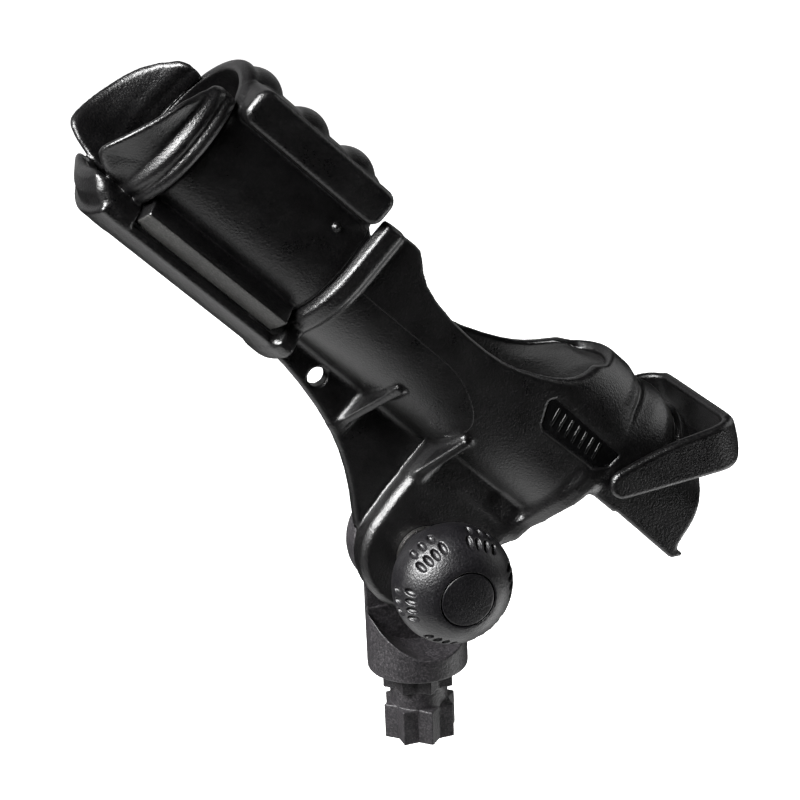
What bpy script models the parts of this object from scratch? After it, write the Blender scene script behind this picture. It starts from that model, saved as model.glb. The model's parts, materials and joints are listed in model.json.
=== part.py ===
# Adjustable fishing rod holder: a cradle with a turning lock ring and a swinging tail
# bail, clamped by a hand knob and a face ratchet to a yoke with an eight-point spigot.
# Metres, +Z up. Origin: centre of the spigot's bottom face. +X points to the tail of the
# cradle, -Y to the hand knob.
import math

import bmesh
import bpy
from mathutils import Matrix, Vector

MM = 0.001

# ---------------------------------------------------------------- driving dimensions (mm)
HINGE_Z = 82.3          # height of the tilt axis over the spigot's bottom face
TILT_DEG = 45.0         # cradle axis below the horizontal, towards the tail, at rest
AXIS_W = 65.0           # cradle axis over the tilt axis, square to the cradle axis

STAR_R = 15.0           # spigot, tip radius of the eight-point star
STAR_INNER = 0.7654     # inner corner radius as a share of the tip radius
STAR_TOP = 14.5
NECK_R = 11.5
NECK_TOP = 22.2
COLLAR_TOP = 30.2
YOKE_R = 20.0
EAR_R = 23.8
EAR_IN = 1.4            # inner face of the ear, y
EAR_OUT = 13.5          # outer face of the ear, y
SCOOP_R = 22.8
SCOOP_X, SCOOP_Z = 2.0, 62.3

TUBE_IN = 28.0          # cradle bore radius
TUBE_OUT = 31.0
RIM_R = 34.3            # rolled rims
RING_FRONT, RING_BACK = -178.0, -110.0
RING_GAP = 0.4
KEEL_IN, KEEL_OUT = 40.0, 44.0
KEEL_HALF = 37.0        # half angle of the keel about the cradle axis, degrees
TAIL_HALF = 31.5        # tail, half width over its side walls
TAIL_WALL = 3.0
TAIL_TOP = 107.0
TAIL_BOTTOM = 58.6
TAIL_END = 74.5
LUG_R = 25.1
LUG_NEAR, LUG_FAR = -13.0, -1.4
WEB_HALF = 3.0
LANYARD_R = 3.75

BOLT_R = 4.0
BORE_R = 4.3
CLAMP_TRAVEL = 0.9
TOOTH = 1.0             # ratchet tooth height
TOOTH_COUNT = 24
RATCHET_OUT, RATCHET_IN = 20.0, 9.0

KNOB_R = 23.0
KNOB_Y = -43.8
KNOB_FRONT = -60.2
KNOB_BACK = -27.0
CAP_R = 10.3

BAIL_S, BAIL_W = 36.0, 69.5   # bail pivot in the cradle frame
BAIL_IN, BAIL_OUT = 31.9, 36.2
PIN_R = 2.6

# ---------------------------------------------------------------- scene
for ob in list(bpy.data.objects):
    bpy.data.objects.remove(ob, do_unlink=True)

parts = bpy.data.collections.new("rod_holder")
tools = bpy.data.collections.new("rod_holder_cutters")
bpy.context.scene.collection.children.link(parts)
bpy.context.scene.collection.children.link(tools)


def material(name, colour, rough, metal=0.0):
    mat = bpy.data.materials.new(name)
    mat.use_nodes = True
    bsdf = mat.node_tree.nodes["Principled BSDF"]
    bsdf.inputs["Base Color"].default_value = (*colour, 1.0)
    bsdf.inputs["Roughness"].default_value = rough
    bsdf.inputs["Metallic"].default_value = metal
    mat.diffuse_color = (*colour, 1.0)
    return mat


def empty(name, loc, rot=(0, 0, 0), parent=None):
    ob = bpy.data.objects.new(name, None)
    parts.objects.link(ob)
    ob.location = [v * MM for v in loc]
    ob.rotation_euler = rot
    ob.parent = parent
    return ob


pending = []            # (object, parent, sharp angle), set in place at the end


def add(name, bm, parent=None, mat=None, tool=False, sharp=35):
    """Turn a bmesh into an object, in millimetres in its own frame; place_all() then
    joins its Booleans, scales it to metres and hangs it in its frame."""
    bmesh.ops.recalc_face_normals(bm, faces=bm.faces)
    me = bpy.data.meshes.new(name)
    bm.to_mesh(me)
    bm.free()
    ob = bpy.data.objects.new(name, me)
    (tools if tool else parts).objects.link(ob)
    if tool:
        ob.hide_render = True
        ob.display_type = "WIRE"
    else:
        pending.append((ob, parent, sharp))
    if mat:
        me.materials.append(mat)
    return ob


def place_all():
    bpy.context.view_layer.update()
    for ob, parent, sharp in pending:
        if ob.modifiers:
            deps = bpy.context.evaluated_depsgraph_get()
            me = bpy.data.meshes.new_from_object(ob.evaluated_get(deps))
            mats = list(ob.data.materials)
            ob.modifiers.clear()
            ob.data = me
            me.materials.clear()
            for m in mats:
                me.materials.append(m)
            for poly in me.polygons:
                poly.material_index = 0
        ob.data.transform(Matrix.Scale(MM, 4))
        ob.data.shade_smooth()
        ob.data.set_sharp_from_angle(angle=math.radians(sharp))
        ob.data.name = ob.name
        ob.parent = parent
    for ob in list(tools.objects):
        bpy.data.objects.remove(ob, do_unlink=True)
    bpy.data.collections.remove(tools)


# Long chains of joins and cuts leave open slivers with the EXACT solver on these three.
MANIFOLD_NODES = ("cradle_body", "mount_yoke", "locking_ring")


def boolean(ob, tool, op):
    mod = ob.modifiers.new(tool.name, "BOOLEAN")
    mod.operation = op
    mod.solver = "MANIFOLD" if ob.name in MANIFOLD_NODES else "EXACT"
    mod.object = tool
    return mod


def outline_prism(points, lo, hi, axis="Y"):
    """A flat outline extruded between two planes.
    axis Y: points are (x, z); axis X: points are (y, z); axis Z: points are (x, y)."""
    bm = bmesh.new()
    place = {"Y": lambda a, b: (a, lo, b), "X": lambda a, b: (lo, a, b),
             "Z": lambda a, b: (a, b, lo)}[axis]
    verts = [bm.verts.new(place(a, b)) for a, b in points]
    face = bm.faces.new(verts)
    out = bmesh.ops.extrude_face_region(bm, geom=[face])
    step = {"Y": (0, hi - lo, 0), "X": (hi - lo, 0, 0), "Z": (0, 0, hi - lo)}[axis]
    bmesh.ops.translate(bm, vec=step,
                        verts=[g for g in out["geom"] if isinstance(g, bmesh.types.BMVert)])
    return bm


def arc_points(cx, cy, r, a0, a1, n):
    return [(cx + r * math.cos(math.radians(a0 + (a1 - a0) * i / n)),
             cy + r * math.sin(math.radians(a0 + (a1 - a0) * i / n))) for i in range(n + 1)]


def cylinder(r, lo, hi, axis="Y", at=(0.0, 0.0), seg=48):
    """A closed cylinder along an axis; at is its centre in the other two coordinates."""
    bm = bmesh.new()
    bmesh.ops.create_cone(bm, cap_ends=True, segments=seg, radius1=r, radius2=r, depth=hi - lo)
    mid = (lo + hi) / 2
    if axis == "Y":
        bmesh.ops.rotate(bm, verts=bm.verts, matrix=Matrix.Rotation(math.pi / 2, 3, "X"))
        shift = (at[0], mid, at[1])
    elif axis == "X":
        bmesh.ops.rotate(bm, verts=bm.verts, matrix=Matrix.Rotation(math.pi / 2, 3, "Y"))
        shift = (mid, at[0], at[1])
    else:
        shift = (at[0], at[1], mid)
    bmesh.ops.translate(bm, vec=shift, verts=bm.verts)
    return bm


def sweep_arc(profile, a0, a1, steps):
    """A closed profile of (s, radius) swept about the cradle axis from angle a0 to a1.
    Angles are in degrees from the top, positive towards the knob side (-Y)."""
    bm = bmesh.new()
    verts = [bm.verts.new((s, 0.0, r)) for s, r in profile]
    face = bm.faces.new(verts)
    bmesh.ops.rotate(bm, verts=bm.verts, matrix=Matrix.Rotation(math.radians(a0), 3, "X"))
    geom = list(bm.verts) + list(bm.edges) + [face]
    bmesh.ops.spin(bm, geom=geom, cent=(0, 0, 0), axis=(1, 0, 0), dvec=(0, 0, 0),
                   angle=math.radians(a1 - a0), steps=steps, use_duplicate=False)
    bmesh.ops.translate(bm, vec=(0, 0, AXIS_W), verts=bm.verts)
    return bm


def lathe(profile, steps, axis="Y", centre=(0, 0, 0)):
    """A profile of (station, radius) turned right round an axis; closed if it ends on it
    or if its last point is its first."""
    bm = bmesh.new()
    closed = profile[0] == profile[-1]
    pts = profile[:-1] if closed else profile
    if axis == "Y":
        verts = [bm.verts.new((r, y, 0.0)) for y, r in pts]
        direction = (0, 1, 0)
    elif axis == "X":
        verts = [bm.verts.new((x, 0.0, r)) for x, r in pts]
        direction = (1, 0, 0)
    else:
        verts = [bm.verts.new((r, 0.0, z)) for z, r in pts]
        direction = (0, 0, 1)
    edges = [bm.edges.new((verts[i], verts[i + 1])) for i in range(len(verts) - 1)]
    if closed:
        edges.append(bm.edges.new((verts[-1], verts[0])))
    bmesh.ops.spin(bm, geom=verts + edges, cent=(0, 0, 0), axis=direction, dvec=(0, 0, 0),
                   angle=2 * math.pi, steps=steps, use_duplicate=False)
    bmesh.ops.remove_doubles(bm, verts=bm.verts, dist=0.01)
    bmesh.ops.translate(bm, vec=centre, verts=bm.verts)
    return bm


def merge(*bms):
    """Several closed forms in one mesh, before a Boolean joins them."""
    base = bms[0]
    for other in bms[1:]:
        me = bpy.data.meshes.new("tmp")
        other.to_mesh(me)
        other.free()
        base.from_mesh(me)
        bpy.data.meshes.remove(me)
    return base


# ---------------------------------------------------------------- materials
nylon = material("nylon_black", (0.020, 0.020, 0.021), 0.42)
nylon_grey = material("nylon_dark_grey", (0.040, 0.040, 0.041), 0.50)
gloss = material("badge_gloss_black", (0.012, 0.012, 0.013), 0.18)
steel = material("stainless_steel", (0.55, 0.55, 0.54), 0.30, 1.0)
brass = material("brass", (0.72, 0.55, 0.25), 0.32, 1.0)
acetal = material("acetal_black", (0.028, 0.028, 0.029), 0.38)

# ---------------------------------------------------------------- frames
hinge = empty("tilt_axis", (0, 0, HINGE_Z))
cradle_frame = empty("cradle_frame", (0, 0, HINGE_Z), (0, math.radians(TILT_DEG), 0))
cw = math.cos(math.radians(TILT_DEG))
sw = math.sin(math.radians(TILT_DEG))
knob_frame = empty("knob_axis", (0, 0, HINGE_Z))
ring_frame = empty("ring_axis", (AXIS_W * sw, 0, HINGE_Z + AXIS_W * cw),
                   (0, math.radians(TILT_DEG), 0))
bail_frame = empty("bail_axis", (BAIL_S * cw + BAIL_W * sw, 0,
                                 HINGE_Z - BAIL_S * sw + BAIL_W * cw),
                   (0, math.radians(TILT_DEG), 0))


# ---------------------------------------------------------------- mount yoke (root)
def star(r, z0, z1):
    pts = []
    for i in range(16):
        rad = r if i % 2 == 0 else r * STAR_INNER
        a = math.radians(22.5 * i)
        pts.append((rad * math.cos(a), rad * math.sin(a)))
    return outline_prism(pts, z0, z1, "Z")


yoke = add("mount_yoke", star(STAR_R, 0.0, STAR_TOP), None, nylon_grey)
boolean(yoke, add("yoke_neck", cylinder(NECK_R, STAR_TOP - 1.0, COLLAR_TOP + 2.0, "Z", seg=48),
                  tool=True), "UNION")
boolean(yoke, add("yoke_star_upper", star(STAR_R, NECK_TOP, COLLAR_TOP + 1.0), tool=True), "UNION")
boolean(yoke, add("yoke_barrel", lathe([(COLLAR_TOP, 0.0), (COLLAR_TOP, YOKE_R - 0.6),
                                        (COLLAR_TOP + 0.6, YOKE_R), (HINGE_Z - 14.0, YOKE_R),
                                        (HINGE_Z - 14.0, 0.0)], 64, "Z"), tool=True), "UNION")
ear = lathe([(EAR_OUT, 0.0), (EAR_OUT, EAR_R - 3.5), (EAR_OUT - 1.0, EAR_R - 1.2),
             (EAR_OUT - 3.5, EAR_R), (EAR_IN + 0.5, EAR_R), (EAR_IN, EAR_R - 0.5),
             (EAR_IN, 0.0)], 64, "Y", (0, 0, HINGE_Z))
boolean(yoke, add("yoke_ear", ear, tool=True), "UNION")
# near half opened for the lug, over a scooped floor
boolean(yoke, add("yoke_near_cut", outline_prism([(-40, SCOOP_Z - 5.2), (40, SCOOP_Z - 5.2),
                                                  (40, HINGE_Z + 40), (-40, HINGE_Z + 40)],
                                                 -40, EAR_IN), tool=True), "DIFFERENCE")
boolean(yoke, add("yoke_scoop", cylinder(SCOOP_R, -40, EAR_IN - 0.3, "Y",
                                         (SCOOP_X, SCOOP_Z), 64), tool=True), "DIFFERENCE")
# far side of the barrel pared back to the ear's outer face
far_cut = outline_prism([(EAR_OUT, HINGE_Z + 1), (EAR_OUT, 58.0), (21.5, 44.0), (30.0, 44.0),
                         (30.0, HINGE_Z + 1)], -40, 40, "X")
boolean(yoke, add("yoke_back_slope", far_cut, tool=True), "DIFFERENCE")
boolean(yoke, add("yoke_bore", cylinder(BORE_R, EAR_IN - 3, EAR_OUT + 3, "Y", (0, HINGE_Z), 32),
                  tool=True), "DIFFERENCE")
boolean(yoke, add("yoke_spring_pocket", cylinder(8.3, EAR_IN - 2, 5.4, "Y", (0, HINGE_Z), 32),
                  tool=True), "DIFFERENCE")
boolean(yoke, add("yoke_ratchet_pocket", cylinder(RATCHET_OUT + 0.3, EAR_IN - 2, 4.7, "Y",
                                                  (0, HINGE_Z), 48), tool=True), "DIFFERENCE")
hexagon = [(8.0 * math.cos(math.radians(60 * i)), HINGE_Z + 8.0 * math.sin(math.radians(60 * i)))
           for i in range(6)]
boolean(yoke, add("yoke_hex_pocket", outline_prism(hexagon, 8.0, EAR_OUT + 3), tool=True),
        "DIFFERENCE")

# ---------------------------------------------------------------- pivot bolt and washer
hex_head = [(7.5 * math.cos(math.radians(60 * i)), HINGE_Z + 7.5 * math.sin(math.radians(60 * i)))
            for i in range(6)]
bolt = add("pivot_bolt", cylinder(BOLT_R, -50.0, 11.0, "Y", (0, HINGE_Z), 32), None, steel)
boolean(bolt, add("bolt_head", outline_prism(hex_head, 9.9, 14.4), tool=True), "UNION")
add("bolt_washer", lathe([(8.2, BORE_R + 0.1), (9.6, BORE_R + 0.1), (9.6, 6.3), (8.2, 6.3),
                          (8.2, BORE_R + 0.1)], 32, "Y", (0, 0, HINGE_Z)), None, steel)


# ---------------------------------------------------------------- face ratchet
def ratchet(peak, root, back, shift):
    """A ring with radial V teeth on one face; stations along Y."""
    bm = bmesh.new()
    n = TOOTH_COUNT * 2
    rows = []
    for i in range(n):
        a = math.radians(360.0 * i / n + shift)
        y = peak if i % 2 == 0 else root
        c, s = math.cos(a), math.sin(a)
        rows.append([bm.verts.new((RATCHET_IN * c, y, RATCHET_IN * s)),
                     bm.verts.new((RATCHET_OUT * c, y, RATCHET_OUT * s)),
                     bm.verts.new((RATCHET_OUT * c, back, RATCHET_OUT * s)),
                     bm.verts.new((RATCHET_IN * c, back, RATCHET_IN * s))])
    for i in range(n):
        p, q = rows[i], rows[(i + 1) % n]
        for j in range(4):
            bm.faces.new((p[j], p[(j + 1) % 4], q[(j + 1) % 4], q[j]))
    bmesh.ops.translate(bm, vec=(0, 0, HINGE_Z), verts=bm.verts)
    return bm


add("ratchet_ring_fixed", ratchet(0.15, 0.15 + TOOTH, 4.4, 0.0), None, acetal, sharp=5)

# spring that lifts the teeth apart when the knob is slackened
coil = bpy.data.curves.new("release_spring_path", "CURVE")
coil.dimensions = "3D"
coil.bevel_depth = 0.5 * MM
coil.bevel_resolution = 1
coil.use_fill_caps = True
spline = coil.splines.new("POLY")
turns, per = 4.0, 14
count = int(turns * per) + 1
spline.points.add(count - 1)
for i in range(count):
    a = 2 * math.pi * i / per
    spline.points[i].co = (6.4 * MM * math.cos(a), (-4.0 + 8.6 * i / (count - 1)) * MM,
                           HINGE_Z * MM + 6.4 * MM * math.sin(a), 1.0)
coil_ob = bpy.data.objects.new("release_spring_curve", coil)
parts.objects.link(coil_ob)
bpy.context.view_layer.update()
deps = bpy.context.evaluated_depsgraph_get()
coil_me = bpy.data.meshes.new_from_object(coil_ob.evaluated_get(deps))
bpy.data.objects.remove(coil_ob, do_unlink=True)
bm = bmesh.new()
bm.from_mesh(coil_me)
bmesh.ops.scale(bm, vec=(1 / MM,) * 3, verts=bm.verts)
bmesh.ops.remove_doubles(bm, verts=bm.verts, dist=0.001)
add("release_spring", bm, None, steel, sharp=60)

# ---------------------------------------------------------------- thrust washer
add("thrust_washer", lathe([(-14.9, BORE_R), (-13.3, BORE_R), (-13.3, 11.5), (-14.9, 11.5),
                            (-14.9, BORE_R)], 40, "Y", (0, 0, HINGE_Z)), None, steel)

# ---------------------------------------------------------------- cradle body
H = cradle_frame
body = add("cradle_body", cylinder(TUBE_OUT, -106.0, 27.0, "X", (0, AXIS_W), 56), H, nylon)

rim_profile = [(-109.2, 26.0), (-109.2, 32.3), (-108.4, 33.5), (-106.8, RIM_R),
               (-104.6, RIM_R), (-102.6, 33.2), (-101.0, 31.2), (-100.6, 26.0), (-109.2, 26.0)]
boolean(body, add("rear_rim", lathe(rim_profile, 56, "X", (0, 0, AXIS_W)), H, tool=True), "UNION")

corner = 14.0
tail_section = ([(-TAIL_HALF, TAIL_BOTTOM), (TAIL_HALF, TAIL_BOTTOM)]
                + arc_points(TAIL_HALF - corner, TAIL_TOP - corner, corner, 0, 90, 7)
                + arc_points(-TAIL_HALF + corner, TAIL_TOP - corner, corner, 90, 180, 7))
boolean(body, add("tail_outer", outline_prism(tail_section, -16.0, 81.0, "X"), H, tool=True),
        "UNION")
k0, k1 = 180 - KEEL_HALF, 180 + KEEL_HALF
boolean(body, add("keel_shell", sweep_arc([(-190.0, KEEL_IN), (-190.0, KEEL_OUT), (-103.5, KEEL_OUT),
                                           (-101.6, KEEL_OUT - 1.2), (-101.0, KEEL_IN)],
                                          k0, k1, 12), H, tool=True), "UNION")
boolean(body, add("keel_rear_wall", sweep_arc([(-107.5, 26.0), (-107.5, 42.5), (-101.8, 42.5),
                                               (-101.8, 26.0)], k0 + 0.5, k1 - 0.5, 12), H,
                  tool=True), "UNION")
boolean(body, add("keel_front_block", sweep_arc(
    [(-178.4, 26.0), (-178.4, KEEL_OUT + 0.02), (-189.0, KEEL_OUT + 0.02), (-192.5, 43.0), (-195.4, 40.0),
     (-196.6, 36.0), (-196.2, 31.0), (-195.0, 26.0)], k0 - 0.5, k1 + 0.5, 12), H, tool=True), "UNION")
horn = [(-178.4, 26.0), (-178.4, 33.2), (-179.4, 34.2), (-181.2, 34.4), (-183.2, 33.4),
        (-185.6, 32.2), (-192.0, 32.0), (-198.0, 32.8), (-203.0, 34.2), (-204.8, 34.6),
        (-205.4, 33.6), (-204.4, 31.6), (-199.0, 29.6), (-192.0, 28.4), (-188.0, 26.0)]
for side, (a, b) in (("near", (50.0, 158.0)), ("far", (202.0, 310.0))):
    boolean(body, add("horn_" + side, sweep_arc(horn, a, b, 15), H, tool=True), "UNION")

# web down to the hinge lug
web = [(-101.9, 40.0), (-101.9, 24.2), (-90.0, 22.6), (-80.0, 20.7), (-69.0, 17.9), (-58.5, 14.3),
       (-50.0, 10.2), (-42.8, 5.8), (-36.0, 0.8), (-29.5, -4.7), (-23.0, -10.2), (-17.0, -15.0),
       (0.0, -18.0), (18.0, -8.0), (25.6, 3.0), (26.6, 40.0)]
boolean(body, add("web", outline_prism(web, -WEB_HALF, WEB_HALF), H, tool=True), "UNION")
lug = arc_points(0, 0, LUG_R, 180, 360, 24) + [(25.7, 20.0), (26.7, 42.0), (-24.8, 42.0)]
boolean(body, add("lug", outline_prism(lug, LUG_NEAR, -1.0), H, tool=True), "UNION")
boolean(body, add("lug_root", outline_prism([(-24.4, 27.5), (26.3, 27.5), (26.3, 43.0),
                                             (-24.4, 43.0)], -12.7, 12.7), H, tool=True), "UNION")
for side, sg in (("near", -1), ("far", 1)):
    boolean(body, add("gusset_front_" + side, outline_prism(
        [(sg * 1.5, 17.0), (sg * 23.5, 43.5), (sg * 1.5, 46.0)], -59.6, -56.6, "X"), H,
        tool=True), "UNION")
    boolean(body, add("gusset_boss_" + side, outline_prism(
        [(sg * 6.0, 30.5 if sg > 0 else 21.0), (sg * 12.9, 30.5 if sg > 0 else 21.0),
         (sg * 26.0, 43.5), (sg * 6.0, 47.0)], -25.6, -22.2, "X"), H, tool=True), "UNION")
    boolean(body, add("end_flange_" + side, outline_prism(
        [(sg * 6.0, 28.5), (sg * 12.8, 28.5), (sg * 20.5, 35.5), (sg * 31.2, 52.0),
         (sg * 31.4, 60.0), (sg * 6.0, 50.0)], 21.6, 27.4, "X"), H, tool=True), "UNION")

cuts = []
cuts.append(add("bore_cut", cylinder(TUBE_IN, -215.0, 30.0, "X", (0, AXIS_W), 56), H, tool=True))
ih = TAIL_HALF - TAIL_WALL
ic = corner - TAIL_WALL
tail_inner = ([(-ih, 62.2), (ih, 62.2)]
              + arc_points(ih - ic, TAIL_TOP - TAIL_WALL - ic, ic, 0, 90, 7)
              + arc_points(-ih + ic, TAIL_TOP - TAIL_WALL - ic, ic, 90, 180, 7))
cuts.append(add("tail_inner_cut", outline_prism(tail_inner, -40.0, 90.0, "X"), H, tool=True))
cuts.append(add("tail_floor_cut", outline_prism([(-ih + 0.02, 50.0), (ih - 0.02, 50.0), (ih - 0.02, 66.0), (-ih + 0.02, 66.0)],
                                                27.6, 90.0, "X"), H, tool=True))
tail_end = [(TAIL_END, 63.2), (TAIL_END, 76.0), (73.6, 79.6), (71.6, 83.2), (67.4, 89.2),
            (62.0, 96.0), (57.0, 102.0), (52.0, 108.5), (52.0, 120.0), (95.0, 120.0), (95.0, 63.2)]
cuts.append(add("tail_end_cut", outline_prism(tail_end, -50.0, 50.0), H, tool=True))
saddle = [(-125.0, 86.4), (-99.0, 86.6), (-93.5, 87.0), (-89.0, 85.6), (-85.0, 82.4),
          (-80.0, 79.2), (-73.0, 76.8), (-64.0, 75.5), (-53.0, 75.0), (-43.0, 75.0),
          (-35.0, 76.0), (-28.0, 77.8), (-20.0, 80.8), (-12.7, 84.6), (-8.6, 88.2),
          (-6.0, 92.2), (-4.6, 97.6), (-4.2, 104.0), (-4.2, 125.0), (-125.0, 125.0)]
cuts.append(add("saddle_cut", outline_prism(saddle, -50.0, 50.0), H, tool=True))
cuts.append(add("arch_mouth_cut", cylinder(38.0, 89.0, 125.0, "Z", (-25.0, 0.0), 48), H,
                tool=True))
horn_front = [(-225.0, 28.0), (-198.4, 33.0), (-200.6, 38.0), (-202.8, 43.0), (-203.6, 48.0),
              (-203.0, 54.0), (-201.2, 60.0), (-198.6, 66.5), (-194.8, 74.5), (-190.4, 81.0),
              (-186.6, 84.6), (-182.6, 86.2), (-170.0, 86.4), (-170.0, 125.0), (-225.0, 125.0)]
cuts.append(add("horn_front_cut", outline_prism(horn_front, -50.0, 50.0), H, tool=True))
cuts.append(add("keel_pocket_cut", sweep_arc([(-191.0, 20.0), (-191.0, KEEL_IN - 0.3),
                                              (-176.0, KEEL_IN - 0.3), (-176.0, 20.0)],
                                             158.5, 201.5, 8), H, tool=True))
cuts.append(add("ring_groove_cut", merge(
    lathe([(-181.2, 28.7), (-177.6, 28.7), (-177.6, 30.4), (-181.2, 30.4), (-181.2, 28.7)],
          56, "X", (0, 0, AXIS_W)),
    lathe([(-110.4, 28.7), (-106.8, 28.7), (-106.8, 30.4), (-110.4, 30.4), (-110.4, 28.7)],
          56, "X", (0, 0, AXIS_W))), H, tool=True))
cuts.append(add("ear_clearance_cut", cylinder(25.5, LUG_FAR, 45.0, "Y", (0, 0), 64), H,
                tool=True))
cuts.append(add("sweep_clearance_cut", outline_prism([(0.0, 0.0), (38.0, 29.0), (60.0, 29.0),
                                                      (60.0, -40.0), (-10.0, -40.0)],
                                                     LUG_FAR + 0.02, 45.0), H, tool=True))
cuts.append(add("lug_bore_cut", cylinder(BORE_R, -20.0, 5.0, "Y", (0, 0), 32), H, tool=True))
cuts.append(add("lug_spring_cut", cylinder(8.3, -5.7, 3.0, "Y", (0, 0), 32), H, tool=True))
cuts.append(add("lug_ratchet_cut", cylinder(RATCHET_OUT + 0.3, -4.7, 3.0, "Y", (0, 0), 48), H,
                tool=True))
cuts.append(add("lanyard_hole", cylinder(LANYARD_R, -10.0, 10.0, "Y", (-77.9, 27.1), 28), H,
                tool=True))
cuts.append(add("bail_pin_holes", cylinder(PIN_R + 0.3, -45.0, 45.0, "Y", (BAIL_S, BAIL_W), 24),
                H, tool=True))
badge = [(-10.8, 74.4), (-7.6, 67.6), (-4.6, 65.8), (22.6, 66.6), (26.8, 70.4), (27.8, 76.6),
         (-8.6, 77.2)]


def shrink(points, by):
    cx = sum(p[0] for p in points) / len(points)
    cz = sum(p[1] for p in points) / len(points)
    out = []
    for x, z in points:
        d = math.hypot(x - cx, z - cz)
        out.append((x - (x - cx) / d * by, z - (z - cz) / d * by * 1.6))
    return out


for side, sg in (("near", -1), ("far", 1)):
    lo, hi = sorted((sg * (TAIL_HALF - 1.3), sg * (TAIL_HALF + 3.0)))
    cuts.append(add("badge_pocket_" + side, outline_prism(badge, lo, hi), H, tool=True))
for c in cuts:
    boolean(body, c, "DIFFERENCE")

for side, sg in (("near", -1), ("far", 1)):
    lo, hi = sorted((sg * (TAIL_HALF - 1.0), sg * (TAIL_HALF - 0.1)))
    add("badge_plate_" + side, outline_prism(shrink(badge, 0.45), lo, hi), H, gloss)
    lo, hi = sorted((sg * (TAIL_HALF - 2.6), sg * (BAIL_OUT - 1.6)))
    add("bail_pin_" + side, cylinder(PIN_R, lo, hi, "Y", (BAIL_S, BAIL_W), 24), H, steel)

# moving half of the face ratchet, half a tooth out of phase so that the teeth mesh
rr = ratchet(-0.15, -0.15 - TOOTH, -4.4, 180.0 / TOOTH_COUNT)
bmesh.ops.translate(rr, vec=(0, 0, -HINGE_Z), verts=rr.verts)
bmesh.ops.rotate(rr, verts=rr.verts, matrix=Matrix.Rotation(math.radians(-TILT_DEG), 3, "Y"))
add("ratchet_ring_moving", rr, H, acetal, sharp=5)

# ---------------------------------------------------------------- locking ring
R = ring_frame
OPEN_HALF = 152.0
shift_ring = (0, 0, -AXIS_W)


def ring_add(name, bm, mat=None, tool=False):
    bmesh.ops.translate(bm, vec=shift_ring, verts=bm.verts)
    return add(name, bm, R, mat, tool)


ring = ring_add("locking_ring", sweep_arc(
    [(RING_FRONT, 28.3), (RING_BACK, 28.3), (RING_BACK, TUBE_OUT), (RING_FRONT, TUBE_OUT)],
    -OPEN_HALF, OPEN_HALF, 40), nylon)
top = [(RING_FRONT - 0.0, 30.0), (RING_BACK - 0.4, 30.0), (RING_BACK - 0.4, 33.0),
       (RING_BACK - 1.2, 33.6), (RING_FRONT + 1.6, 33.6), (RING_FRONT + 0.4, 32.6)]
boolean(ring, ring_add("ring_top", sweep_arc(top, -50.0, 47.0, 13), tool=True), "UNION")
for i, s in enumerate((-167.0, -143.5, -120.0)):
    rib = [(s - 6.2, 32.0), (s + 6.2, 32.0), (s + 6.2, 33.6), (s + 4.6, 36.0), (s + 1.6, 37.0),
           (s - 1.6, 37.0), (s - 4.6, 36.0), (s - 6.2, 33.6)]
    boolean(ring, ring_add("ring_rib_%d" % i, sweep_arc(rib, -49.0, 46.0, 12), tool=True), "UNION")
fin_c = 4.5
fin = (arc_points(-112.2 - fin_c, 95.4 - fin_c, fin_c, 90, 0, 4)
       + arc_points(-112.2 - fin_c, 82.0 + fin_c, fin_c, 0, -90, 4)
       + arc_points(-176.6 + fin_c, 82.0 + fin_c, fin_c, 270, 180, 4)
       + arc_points(-176.6 + fin_c, 95.4 - fin_c, fin_c, 180, 90, 4))
boolean(ring, ring_add("ring_thumb_tab", outline_prism(fin, -35.0, -20.5), tool=True), "UNION")
for side, a in (("near", OPEN_HALF - 2.6), ("far", -OPEN_HALF - 2.6)):
    boolean(ring, ring_add("ring_flange_" + side, sweep_arc(
        [(RING_FRONT + 1.5, 29.6), (RING_BACK - 1.5, 29.6), (RING_BACK - 1.5, 38.2),
         (RING_FRONT + 1.5, 38.2)], a if side == "near" else -OPEN_HALF,
        OPEN_HALF if side == "near" else -OPEN_HALF + 2.6, 2), tool=True), "UNION")
boolean(ring, ring_add("ring_tongue", sweep_arc(
    [(RING_FRONT - 2.2, 29.1), (RING_BACK + 2.2, 29.1), (RING_BACK + 2.2, 30.0),
     (RING_FRONT - 2.2, 30.0)], -OPEN_HALF + 0.4, OPEN_HALF - 0.4, 40), tool=True), "UNION")
# roof over the arch kept clear of the bore
boolean(ring, ring_add("ring_bore_cut", cylinder(28.3, -190.0, -100.0, "X", (0, AXIS_W), 48),
                       tool=True), "DIFFERENCE")

# ---------------------------------------------------------------- tail bail
B = bail_frame


def bail_add(name, bm, mat=None, tool=False):
    bmesh.ops.translate(bm, vec=(-BAIL_S, 0, -BAIL_W), verts=bm.verts)
    return add(name, bm, B, mat, tool)


strap = arc_points(BAIL_S, BAIL_W, 6.0, 160, 320, 10) + [
    (67.0, 99.0), (69.0, 103.0), (69.3, 107.0), (67.0, 112.0), (63.6, 115.8), (60.4, 117.4),
    (56.6, 117.0), (53.2, 115.0), (51.2, 112.4)]
bail = bail_add("tail_bail", outline_prism(strap, -BAIL_OUT, BAIL_OUT), nylon)
# rounded loop seen square to the strap
arm = math.radians(59.0)
ax, az = math.cos(arm), math.sin(arm)


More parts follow.
